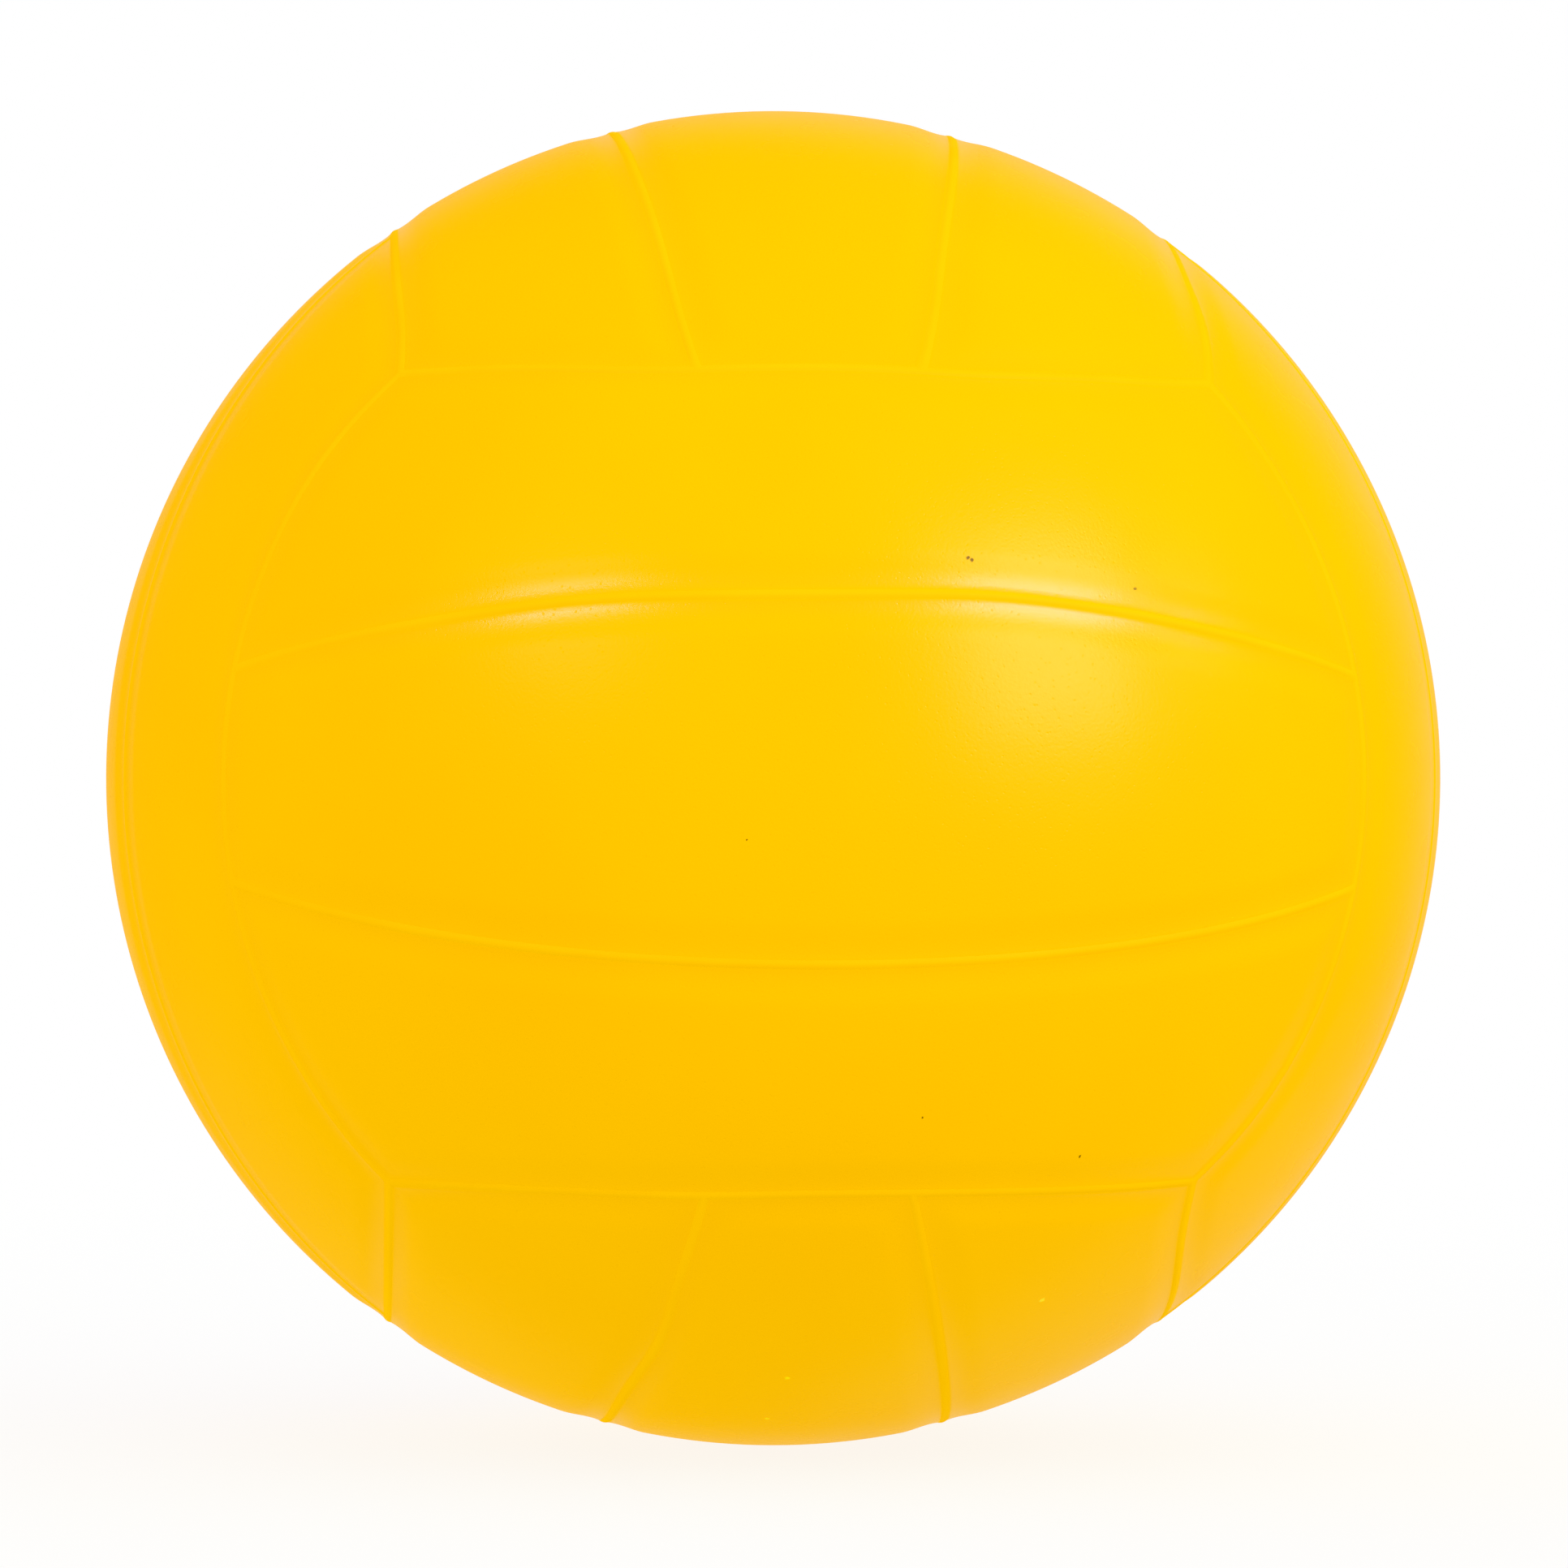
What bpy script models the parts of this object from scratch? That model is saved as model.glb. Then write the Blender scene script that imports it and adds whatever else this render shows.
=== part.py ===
"""Volleyball: eighteen cover panels laid between the ribs of a rubber carcass.

Six faces of three strips cover the ball. The strips of each face run across those of the four faces
beside it, so the ball looks the same from the front, the side and the top after a quarter turn.
Under the panels lie the ribbed carcass, the thread winding and the bladder, which holds the needle valve.
The photographed front faces -Y, +Z is up, the valve is at +Y and the origin is the ball's centre.
"""
import math

import bmesh
import bpy
from mathutils import Matrix, Vector

# Ball and panel layout, in metres
BALL_DIAMETER = 0.210
MIDDLE_PANEL_WIDTH = 0.054

# Cover panels, thinned along their edges down to the seam
PANEL_THICKNESS = 0.0020
SKIVE_WIDTH = 0.0042
SKIVE_DEPTH = 0.00055

# Carcass, whose ribs show as a fine line in every seam; its wall is given where the facets come closest
CARCASS_WALL = 0.0004
RIB_WIDTH = 0.0024
RIB_CROWN = 0.0003
RIB_SETBACK = 0.0002

# Inner layers
WINDING_WALL = 0.0006
BLADDER_WALL = 0.0008

# Needle valve: a rubber seat bonded into the bladder and the plug inside it
VALVE_RECESS = 0.0004
VALVE_WALL = 0.0014
FLANGE_WIDTH = 0.0095
FLANGE_THICKNESS = 0.0016
FLANGE_EDGE = 0.0006
BOSS_LENGTH = 0.0110
NEEDLE_DIAMETER = 0.0020
NEEDLE_LEAD = 0.0007
PLUG_WALL = 0.0020
PLUG_RIM = 0.0010
PLUG_HEAD = 0.0012
PLUG_BULB = 0.0009
PLUG_BULB_LENGTH = 0.0040
PLUG_FLOOR = 0.0030

# Gap kept between neighbouring pieces
CLEARANCE = 0.0003

# Cells of the curved surfaces: along and across a panel, across a face of the carcass, round and down a shell
MIDDLE_PANEL_CELLS = (14, 4)
OUTER_PANEL_CELLS = (12, 3)
CARCASS_STRIP_CELLS = (4, 3, 4)
SHELL_STEPS = 24
SHELL_CELLS = 12
HOLE_SIDES = 24

# The twelve seams between faces lie in planes that meet in threes at the corners of a cube
FACE_SEAM_HEIGHT = math.asin(1 / math.sqrt(3))
FACE_SEAM_POLAR = math.pi / 2 - FACE_SEAM_HEIGHT
FACE_SEAM_HALF_ARC = math.pi / 4

BALL_RADIUS = BALL_DIAMETER / 2
STRIP_SEAM_HEIGHT = MIDDLE_PANEL_WIDTH / BALL_DIAMETER
RIB_HALF_ANGLE = RIB_WIDTH / BALL_DIAMETER
PANEL_EDGE_ANGLE = RIB_HALF_ANGLE + CLEARANCE / BALL_RADIUS
PANEL_UNDERSIDE = BALL_RADIUS - PANEL_THICKNESS

PLUG_RADIUS = NEEDLE_DIAMETER / 2 + PLUG_WALL
PLUG_HEAD_RADIUS = PLUG_RADIUS + PLUG_RIM
VALVE_RADIUS = PLUG_HEAD_RADIUS + CLEARANCE + VALVE_WALL
VALVE_HOLE_RADIUS = VALVE_RADIUS + CLEARANCE
VALVE_FACE = BALL_RADIUS - VALVE_RECESS
VALVE_TURN = (-math.pi / 2, 0, 0)

SHARP_ANGLE = math.radians(35)
WELD = 0.00001

X, Y, Z = Matrix.Identity(3)

# Each face's strip length, strip width and outward directions, and its strips from low to high
FACES = {
    "front": (X, Z, -Y, ("lower", "middle", "upper")),
    "back": (-X, Z, Y, ("lower", "middle", "upper")),
    "left": (Z, Y, -X, ("front", "middle", "rear")),
    "right": (-Z, Y, X, ("front", "middle", "rear")),
    "top": (-Y, X, Z, ("left", "middle", "right")),
    "bottom": (Y, X, -Z, ("left", "middle", "right")),
}


def clear_scene():
    """Remove every object of the scene that the script starts from."""
    for obj in list(bpy.data.objects):
        bpy.data.objects.remove(obj)


def new_collection(name):
    """A collection of the scene."""
    collection = bpy.data.collections.new(name)
    bpy.context.scene.collection.children.link(collection)
    return collection


def new_material(name, colour, roughness):
    """A plain plastic or rubber with the given linear colour."""
    material = bpy.data.materials.new(name)
    material.use_nodes = True
    shader = material.node_tree.nodes["Principled BSDF"]
    shader.inputs["Base Color"].default_value = (*colour, 1)
    shader.inputs["Roughness"].default_value = roughness
    shader.inputs["Metallic"].default_value = 0
    return material


def new_mesh(name, bm, material=None):
    """Finish a bmesh as a smooth-shaded mesh."""
    mesh = bpy.data.meshes.new(name)
    bm.to_mesh(mesh)
    bm.free()
    mesh.shade_smooth()
    mesh.set_sharp_from_angle(angle=SHARP_ANGLE)
    if material:
        mesh.materials.append(material)
    return mesh


def new_part(name, mesh, collection, parent):
    """An object of the assembly, carried by the ball's own frame."""
    obj = bpy.data.objects.new(name, mesh)
    collection.objects.link(obj)
    obj.parent = parent
    return obj


def new_cutter(name, mesh, collection):
    """A shape that is only used to cut others."""
    obj = bpy.data.objects.new(name, mesh)
    collection.objects.link(obj)
    obj.hide_render = True
    obj.display_type = "WIRE"
    return obj


def cut(obj, cutter):
    """Take the cutter's shape out of an object."""
    modifier = obj.modifiers.new("cut " + cutter.name, "BOOLEAN")
    modifier.operation = "DIFFERENCE"
    modifier.solver = "EXACT"
    modifier.object = cutter


def facet_sag(bm, radius):
    """How far the flat cells of a ball's surface can dip below the radius of their corners."""
    half = max((face.verts[0].co - face.verts[2].co).length for face in bm.faces) / 2
    return radius - math.sqrt(radius ** 2 - half ** 2)


# Layout of the seams

def face_frame(length, width, outward):
    """Turn from a face's own axes to the ball's."""
    return Matrix((length, width, outward)).transposed()


def row_end(tilt, height, polar):
    """Half arc of a row, from its middle to the circle of the given polar angle about the face's centre."""
    offset = math.sin(height - tilt)
    reach = math.cos(height - tilt)
    return math.acos((math.cos(polar) + offset * math.sin(tilt)) / (reach * math.cos(tilt)))


def row_point(tilt, height, arc):
    """Point of the unit ball on a row of a face, with the face's length, width and outward axes as x, y, z.

    A row is a circle in a plane along the face's length. The plane is tilted about that length, and
    the row's middle stands at the given height angle above the face's centre line.
    """
    offset = math.sin(height - tilt)
    reach = math.cos(height - tilt)
    across = offset * math.cos(tilt) + reach * math.cos(arc) * math.sin(tilt)
    outward = reach * math.cos(arc) * math.cos(tilt) - offset * math.sin(tilt)
    return Vector((reach * math.sin(arc), across, outward))


def blend(low, high, share):
    """Row part of the way from one row to another."""
    return tuple(a + (b - a) * share for a, b in zip(low, high))


def map_grid(bm, columns, rows, place):
    """Add a grid with the given number of cells and put each of its corners at place(column, row)."""
    corners = bmesh.ops.create_grid(bm, x_segments=columns, y_segments=rows, size=1)["verts"]
    for corner in corners:
        column = round((corner.co.x + 1) / 2 * columns)
        row = round((corner.co.y + 1) / 2 * rows)
        corner.co = place(column, row)
    return corners


# Cover panels

def middle_strip(inset):
    """Lowest and highest row of a middle strip, drawn in from its seams."""
    height = STRIP_SEAM_HEIGHT - inset
    return (-STRIP_SEAM_HEIGHT, -height), (STRIP_SEAM_HEIGHT, height)


def outer_strip(inset):
    """Lowest and highest row of an outer strip, drawn in from its seams."""
    return (STRIP_SEAM_HEIGHT, STRIP_SEAM_HEIGHT + inset), (0, FACE_SEAM_HEIGHT - inset)


def panel_mesh(name, strip, cells, material):
    """Underside of a panel, with a vertex group that is full where the panel has its whole thickness."""
    columns, rows = (count + 2 for count in cells)
    shoulder = PANEL_EDGE_ANGLE + SKIVE_WIDTH / BALL_RADIUS

    def place(column, row):
        edge_row = row in (0, rows)
        low, high = strip(PANEL_EDGE_ANGLE if edge_row else shoulder)
        tilt, height = blend(low, high, max(0, min(1, (row - 1) / cells[1])))
        edge_column = column in (0, columns)
        polar = FACE_SEAM_POLAR - (PANEL_EDGE_ANGLE if edge_column else shoulder)
        share = max(-1, min(1, (column - 1) / cells[0] * 2 - 1))
        return row_point(tilt, height, share * row_end(tilt, height, polar)) * PANEL_UNDERSIDE

    bm = bmesh.new()
    map_grid(bm, columns, rows, place)
    sag = facet_sag(bm, PANEL_UNDERSIDE)
    full = [corner.index for corner in bm.verts if not corner.is_boundary]
    mesh = new_mesh(name, bm, material)
    return mesh, full, sag


def make_panels(collection, parent, material, valve_hole):
    """The eighteen panels, from one middle and one outer panel, and the sag of their flat cells."""
    middle, middle_full, middle_sag = panel_mesh("middle panel", middle_strip, MIDDLE_PANEL_CELLS, material)
    outer, outer_full, outer_sag = panel_mesh("outer panel", outer_strip, OUTER_PANEL_CELLS, material)
    for face, (length, width, outward, strips) in FACES.items():
        for strip, turn in zip(strips, (-1, 0, 1)):
            mesh, full = (outer, outer_full) if turn else (middle, middle_full)
            panel = new_part(f"{face}_{strip}_panel", mesh, collection, parent)
            side = turn or 1
            panel.rotation_euler = face_frame(length * side, width * side, outward).to_euler()
            thicken_panel(panel, full)
            if (face, strip) == ("back", "middle"):
                cut(panel, valve_hole)
    return max(middle_sag, outer_sag)


def thicken_panel(panel, full):
    """Give a panel its thickness, thinned along its edges."""
    if "full thickness" not in panel.vertex_groups:
        panel.vertex_groups.new(name="full thickness").add(full, 1, "REPLACE")
    modifier = panel.modifiers.new("thickness", "SOLIDIFY")
    modifier.thickness = PANEL_THICKNESS
    modifier.offset = 1
    modifier.vertex_group = "full thickness"
    modifier.thickness_vertex_group = 1 - SKIVE_DEPTH / PANEL_THICKNESS


# Ribbed carcass

def face_rows():
    """Rows of a face from its lower to its upper seam, with a row on each seam between its strips."""
    lower, middle, upper = CARCASS_STRIP_CELLS
    low_seam, high_seam = middle_strip(0)
    top_seam = outer_strip(0)[1]
    bottom_seam = tuple(-value for value in top_seam)
    rows = [blend(bottom_seam, low_seam, step / lower) for step in range(lower)]
    rows += [blend(low_seam, high_seam, step / middle) for step in range(middle)]
    rows += [blend(high_seam, top_seam, step / upper) for step in range(upper + 1)]
    return rows


def column_share(tilt, height):
    """Where a neighbouring face's row with this tilt and height meets the seam, as a share of its half arc."""
    end = row_point(tilt, height, row_end(tilt, height, FACE_SEAM_POLAR))
    return math.asin(end.y / math.cos(FACE_SEAM_HEIGHT)) / FACE_SEAM_HALF_ARC


def carcass_mesh(radius, material):
    """Ball with a raised rib along every seam, and the sag of its flat cells."""
    rows = face_rows()
    shares = [column_share(*row) for row in rows]
    cells = len(rows) - 1
    lower, middle, _ = CARCASS_STRIP_CELLS

    def place(column, row):
        tilt, height = rows[row]
        return row_point(tilt, height, shares[column] * row_end(tilt, height, FACE_SEAM_POLAR)) * radius

    bm = bmesh.new()
    fields = []
    for length, width, outward, _ in FACES.values():
        first = len(bm.faces)
        corners = map_grid(bm, cells, cells, place)
        bmesh.ops.transform(bm, matrix=face_frame(length, width, outward).to_4x4(), verts=corners)
        bm.faces.ensure_lookup_table()
        faces = bm.faces[first:]
        low_seam = lower * cells
        high_seam = (lower + middle) * cells
        fields += [faces[:low_seam], faces[low_seam:high_seam], faces[high_seam:]]
    bmesh.ops.remove_doubles(bm, verts=bm.verts, dist=WELD)
    sag = facet_sag(bm, radius)
    raise_ribs(bm, fields, radius)
    return new_mesh("ribbed carcass", bm, material), sag


def raise_ribs(bm, fields, radius):
    """Draw each panel's field in from its seams and raise the strips between the fields as ribs."""
    strips = []
    for field in fields:
        inset = bmesh.ops.inset_region(
            bm, faces=field, thickness=RIB_HALF_ANGLE * radius, use_boundary=True, use_even_offset=True)
        strips += inset["faces"]
    for corner in bm.verts:
        corner.co = corner.co.normalized() * radius
    raised = bmesh.ops.extrude_face_region(bm, geom=strips)["geom"]
    bmesh.ops.delete(bm, geom=strips, context="FACES")
    tops = {item for item in raised if isinstance(item, bmesh.types.BMFace)}
    crown = BALL_RADIUS - RIB_SETBACK
    for corner in {corner for top in tops for corner in top.verts}:
        on_crown = all(face in tops for face in corner.link_faces)
        corner.co = corner.co.normalized() * (crown if on_crown else crown - RIB_CROWN)


# Turned layers and valve

def turn_profile(obj, profile, closed):
    """Turn a half section about the valve's axis. Its outer side runs from the valve inwards."""
    bm = bmesh.new()
    points = [bm.verts.new((radius, 0, height)) for radius, height in profile]
    for start, end in zip(points, points[1:]):
        bm.edges.new((start, end))
    if closed:
        bm.edges.new((points[-1], points[0]))
    bm.to_mesh(obj.data)
    bm.free()
    obj.rotation_euler = VALVE_TURN
    screw = obj.modifiers.new("turn", "SCREW")
    screw.axis = "Z"
    screw.angle = math.tau
    screw.steps = SHELL_STEPS
    screw.render_steps = SHELL_STEPS
    screw.use_merge_vertices = True
    screw.merge_threshold = WELD


def ball_arc(radius, hole):
    """Half outline of a ball, from the edge of its valve hole to the far side."""
    start = math.asin(hole / radius)
    angles = [start + (math.pi - start) * step / SHELL_CELLS for step in range(SHELL_CELLS)]
    return [(radius * math.sin(angle), radius * math.cos(angle)) for angle in angles] + [(0, -radius)]


def make_turned(name, profile, material, collection, parent, closed=False):
    """A turned piece of the assembly."""
    mesh = bpy.data.meshes.new(name)
    mesh.materials.append(material)
    turn_profile(new_part(name, mesh, collection, parent), profile, closed)


def make_shell(name, outer, wall, material, collection, parent):
    """Hollow ball that is open at the valve."""
    inside = ball_arc(outer - wall, VALVE_HOLE_RADIUS)
    profile = inside[::-1] + ball_arc(outer, VALVE_HOLE_RADIUS)
    make_turned(name, profile, material, collection, parent)


def flange_line(bladder_inside):
    """Height under the bladder's inside at a given distance from the valve's axis."""
    (near, high), (far, low) = ball_arc(bladder_inside, VALVE_HOLE_RADIUS)[:2]
    slope = (low - high) / (far - near)
    return lambda radius: high + slope * (radius - near) - CLEARANCE


def make_valve_body(bladder_inside, material, collection, parent):
    """Valve seat: a stem through all layers, a flange under the bladder and a boss round the plug."""
    flange_top = flange_line(bladder_inside)
    flange_radius = VALVE_RADIUS + FLANGE_WIDTH
    flange_foot = flange_top(VALVE_RADIUS) - FLANGE_THICKNESS
    boss_end = flange_foot - BOSS_LENGTH
    bore = PLUG_RADIUS + CLEARANCE
    seat = VALVE_FACE - PLUG_HEAD - CLEARANCE
    recess = PLUG_HEAD_RADIUS + CLEARANCE
    profile = [
        (bore, boss_end),
        (bore, seat),
        (recess, seat),
        (recess, VALVE_FACE),
        (VALVE_RADIUS, VALVE_FACE),
        (VALVE_RADIUS, flange_top(VALVE_RADIUS)),
        (flange_radius, flange_top(flange_radius)),
        (flange_radius, flange_top(flange_radius) - FLANGE_EDGE),
        (VALVE_RADIUS, flange_foot),
        (VALVE_RADIUS, boss_end),
    ]
    make_turned("valve_body", profile, material, collection, parent, closed=True)
    return boss_end


def make_valve_core(boss_end, material, collection, parent):
    """Self-sealing plug, held in the seat by its head and its bulb, with a blind channel for the needle."""
    needle = NEEDLE_DIAMETER / 2
    bulb_top = boss_end - CLEARANCE
    bulb_end = bulb_top - PLUG_BULB_LENGTH
    channel_end = bulb_end + PLUG_FLOOR
    profile = [
        (0, channel_end),
        (needle, channel_end),
        (needle, VALVE_FACE - NEEDLE_LEAD),
        (needle + NEEDLE_LEAD, VALVE_FACE),
        (PLUG_HEAD_RADIUS, VALVE_FACE),
        (PLUG_HEAD_RADIUS, VALVE_FACE - PLUG_HEAD),
        (PLUG_RADIUS, VALVE_FACE - PLUG_HEAD),
        (PLUG_RADIUS, bulb_top),
        (PLUG_RADIUS + PLUG_BULB, bulb_top),
        (PLUG_RADIUS, bulb_end),
        (0, bulb_end),
    ]
    make_turned("valve_core", profile, material, collection, parent)


def make_valve_hole(cutters):
    """Round bar from the ball's centre out through the valve's place."""
    bm = bmesh.new()
    bmesh.ops.create_cone(
        bm, cap_ends=True, segments=HOLE_SIDES, radius1=VALVE_HOLE_RADIUS, radius2=VALVE_HOLE_RADIUS,
        depth=BALL_DIAMETER)
    hole = new_cutter("valve_hole", new_mesh("valve hole", bm), cutters)
    hole.location = (0, BALL_RADIUS, 0)
    hole.rotation_euler = VALVE_TURN
    return hole


def main():
    """Build the ball from the outside in, each layer seated in the one before."""
    clear_scene()
    parts = new_collection("volleyball")
    cutters = new_collection("cutters")
    ball = bpy.data.objects.new("ball", None)
    parts.objects.link(ball)

    cover = new_material("yellow cover", (0.98, 0.60, 0.004), 0.42)
    carcass_rubber = new_material("yellow carcass rubber", (0.96, 0.57, 0.004), 0.48)
    thread = new_material("nylon thread", (0.82, 0.80, 0.74), 0.70)
    bladder_rubber = new_material("black bladder rubber", (0.03, 0.03, 0.03), 0.60)
    valve_rubber = new_material("yellow valve rubber", (0.94, 0.55, 0.004), 0.50)
    core_rubber = new_material("black valve rubber", (0.02, 0.02, 0.02), 0.45)

    valve_hole = make_valve_hole(cutters)
    panel_sag = make_panels(parts, ball, cover, valve_hole)

    carcass_radius = PANEL_UNDERSIDE - panel_sag - CLEARANCE
    mesh, carcass_sag = carcass_mesh(carcass_radius, carcass_rubber)
    carcass = new_part("ribbed_carcass", mesh, parts, ball)
    carcass_inside = carcass_radius - carcass_sag - CARCASS_WALL
    hollow = new_cutter("carcass_hollow", bpy.data.meshes.new("carcass hollow"), cutters)
    outline = ball_arc(carcass_inside, VALVE_RADIUS)
    turn_profile(hollow, [(0, outline[0][1])] + outline, closed=False)
    cut(carcass, hollow)
    cut(carcass, valve_hole)

    winding_radius = carcass_inside - CLEARANCE
    make_shell("thread_winding", winding_radius, WINDING_WALL, thread, parts, ball)
    bladder_radius = winding_radius - WINDING_WALL - CLEARANCE
    make_shell("bladder", bladder_radius, BLADDER_WALL, bladder_rubber, parts, ball)

    boss_end = make_valve_body(bladder_radius - BLADDER_WALL, valve_rubber, parts, ball)
    make_valve_core(boss_end, core_rubber, parts, ball)


main()
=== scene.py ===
"""Looks of the volleyball: fine meshes for its panels, ribs and valve, their materials, and a plain studio.

Lengths are in metres. The photographed front faces -Y, +Z is up, the valve is at +Y and the origin is the
ball's centre, as in the part that this script dresses.
"""

import math

import bmesh
import bpy
from mathutils import Matrix, Vector


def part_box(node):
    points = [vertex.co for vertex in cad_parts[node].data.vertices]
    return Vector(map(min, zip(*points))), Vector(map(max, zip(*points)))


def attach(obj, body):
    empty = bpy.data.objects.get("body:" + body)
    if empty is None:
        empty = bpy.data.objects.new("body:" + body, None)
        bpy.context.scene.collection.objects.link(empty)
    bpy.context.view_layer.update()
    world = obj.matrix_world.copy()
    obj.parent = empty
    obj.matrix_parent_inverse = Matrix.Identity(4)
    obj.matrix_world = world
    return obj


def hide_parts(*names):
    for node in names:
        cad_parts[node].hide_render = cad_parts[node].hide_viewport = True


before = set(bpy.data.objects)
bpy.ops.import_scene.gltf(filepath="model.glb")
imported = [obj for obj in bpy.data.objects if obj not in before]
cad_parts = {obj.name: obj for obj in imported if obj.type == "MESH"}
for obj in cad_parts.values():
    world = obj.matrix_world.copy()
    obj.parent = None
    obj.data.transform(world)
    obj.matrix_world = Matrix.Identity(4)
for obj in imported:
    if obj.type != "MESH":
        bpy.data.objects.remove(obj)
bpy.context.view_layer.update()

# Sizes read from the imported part
BALL_RADIUS = -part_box("front_middle_panel")[0].y
WINDING_RADIUS = -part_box("thread_winding")[0].y
VALVE_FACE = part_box("valve_core")[1].y
VALVE_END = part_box("valve_body")[0].y
FLANGE_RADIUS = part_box("valve_body")[1].x
PLUG_HEAD_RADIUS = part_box("valve_core")[1].x
PLUG_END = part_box("valve_core")[0].y

# Panels: a level field, a trough along every seam and a thin edge that rises onto the rib's shoulder
MIDDLE_PANEL_WIDTH = 0.054
PANEL_THICKNESS = 0.0020
TROUGH_DEPTH = 0.00038
TROUGH_FLOOR = 0.0020
TROUGH_EDGE = 0.0068
PANEL_EDGE = 0.00055
EDGE_RISE = 0.00007
EDGE_RISE_START = 0.0016
EDGE_THICKNESS = 0.00004
CORNER_SOFTNESS = 0.0010

# Ribs of the carcass
RIB_HALF_WIDTH = 0.00105
RIB_SETBACK = 0.00014
RIB_CROWN = 0.00027
RIB_WAVE = 0.00118
RIB_STEPS = (0.00018, 0.00038, 0.00058, 0.00076, 0.00091, RIB_HALF_WIDTH)
LAYER_GAP = 0.0003

# Valve seat and plug
VALVE_RADIUS = 0.0057
VALVE_HOLE_RADIUS = VALVE_RADIUS + LAYER_GAP
FLANGE_THICKNESS = 0.0016
FLANGE_EDGE = 0.0006
FLANGE_SLOPE = 0.105
BLADDER_THICKNESS = 0.0008
NEEDLE_RADIUS = 0.0010
NEEDLE_LEAD = 0.0007
PLUG_RADIUS = 0.0030
PLUG_HEAD = 0.0012
PLUG_BULB = 0.0009
PLUG_FLOOR = 0.0030
RUBBER_ROUND = 0.00035
SIDE_PER_ROUND = 2.2
BORE_BREAK = (0.5, 0.4)
LIP_DEPTH = 0.00040
LIP_FADE = 0.0022 / 3

# Distances from the seam at which a panel's outer rows and columns lie, and the cells inside them
EDGE_STEPS = (
    PANEL_EDGE, 0.00072, 0.00090, 0.00115, 0.0014, EDGE_RISE_START, 0.0021, 0.0027, 0.0033,
    0.0039, 0.0045, 0.0051, 0.0057, 0.0064, 0.0072)
MIDDLE_PANEL_CELLS = (90, 18)
OUTER_PANEL_CELLS = (84, 12)
CARCASS_STRIP_CELLS = (26, 38, 26)
HOLLOW_STRIP_CELLS = (10, 14, 10)
TURN_STEPS = 64
ROUND_STEPS = 4

# Cells round the valve hole: a fine square block in the panel's middle, drawn into rings towards the hole
VALVE_BLOCK_CELL = 0.0015
VALVE_BLOCK_CELLS = 8
VALVE_HOLE_CELLS = 4
VALVE_RING_RADII = (VALVE_HOLE_RADIUS, 0.00625, 0.0068, 0.0081, 0.0102)
VALVE_RING_ROUNDNESS = (1, 1, 1, 0.85, 0.5)
VALVE_PANEL_CELLS = (39, 4)

# The twelve seams between faces lie in planes that meet in threes at the corners of a cube
FACE_SEAM_HEIGHT = math.asin(1 / math.sqrt(3))
FACE_SEAM_POLAR = math.pi / 2 - FACE_SEAM_HEIGHT
FACE_SEAM_HALF_ARC = math.pi / 4
STRIP_SEAM_HEIGHT = MIDDLE_PANEL_WIDTH / 2 / BALL_RADIUS

PANEL_UNDERSIDE = BALL_RADIUS - PANEL_THICKNESS
CARCASS_RADIUS = PANEL_UNDERSIDE - LAYER_GAP
CARCASS_INSIDE = WINDING_RADIUS + LAYER_GAP
SHARP_ANGLE = math.radians(40)
WELD = 0.00001

X, Y, Z = Matrix.Identity(3)

# Hand-laid seams: the pixels where they stray from the even layout, and by how many pixels right and down
SHIFT_REACH = 0.0168
SEAM_SHIFTS = {
    "upper_seam_right": ((1225, 742), (1, -7)),
    "upper_seam_far_right": ((1390, 760), (0, -4)),
    "upper_seam_left": ((716, 743), (0, -4)),
    "top_seam_right_end": ((1440, 462), (0, 9)),
    "top_seam_right": ((1230, 452), (7, 6)),
    "top_seam_left": ((790, 450), (-2, 3)),
    "top_inner_seam_left": ((850, 380), (-4, 4)),
    "top_inner_seam_right": ((1140, 395), (2, 2)),
    "top_outer_seam_left": ((486, 410), (9, 3)),
    "top_outer_seam_right": ((1470, 410), (12, -1)),
    "bottom_inner_seam_left": ((850, 1500), (12, 4)),
    "bottom_inner_seam_left_low": ((800, 1640), (16, 6)),
    "bottom_outer_seam_right": ((1465, 1530), (-7, -5)),
}

# Each face's strip length, strip width and outward directions, and its strips from low to high
FACES = {
    "front": (X, Z, -Y, ("lower", "middle", "upper")),
    "back": (-X, Z, Y, ("lower", "middle", "upper")),
    "left": (Z, Y, -X, ("front", "middle", "rear")),
    "right": (-Z, Y, X, ("front", "middle", "rear")),
    "top": (-Y, X, Z, ("left", "middle", "right")),
    "bottom": (Y, X, -Z, ("left", "middle", "right")),
}


def smooth_step(low, high, value):
    """Rise from 0 at low to 1 at high, level at both ends."""
    share = max(0, min(1, (value - low) / (high - low)))
    return share * share * (3 - 2 * share)


def mix(low, high, share):
    """Value part of the way from low to high."""
    return low + (high - low) * share


# Layout of the seams

def face_frame(length, width, outward):
    """Turn from a face's own axes to the ball's."""
    return Matrix((length, width, outward)).transposed()


def row_end(tilt, height, polar):
    """Half arc of a row, from its middle to the circle of the given polar angle about the face's centre."""
    offset = math.sin(height - tilt)
    reach = math.cos(height - tilt)
    return math.acos((math.cos(polar) + offset * math.sin(tilt)) / (reach * math.cos(tilt)))


def row_point(tilt, height, arc):
    """Point of the unit ball on a row of a face, with the face's length, width and outward axes as x, y, z.

    A row is a circle in a plane along the face's length. The plane is tilted about that length, and
    the row's middle stands at the given height angle above the face's centre line.
    """
    offset = math.sin(height - tilt)
    reach = math.cos(height - tilt)
    across = offset * math.cos(tilt) + reach * math.cos(arc) * math.sin(tilt)
    outward = reach * math.cos(arc) * math.cos(tilt) - offset * math.sin(tilt)
    return Vector((reach * math.sin(arc), across, outward))


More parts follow.
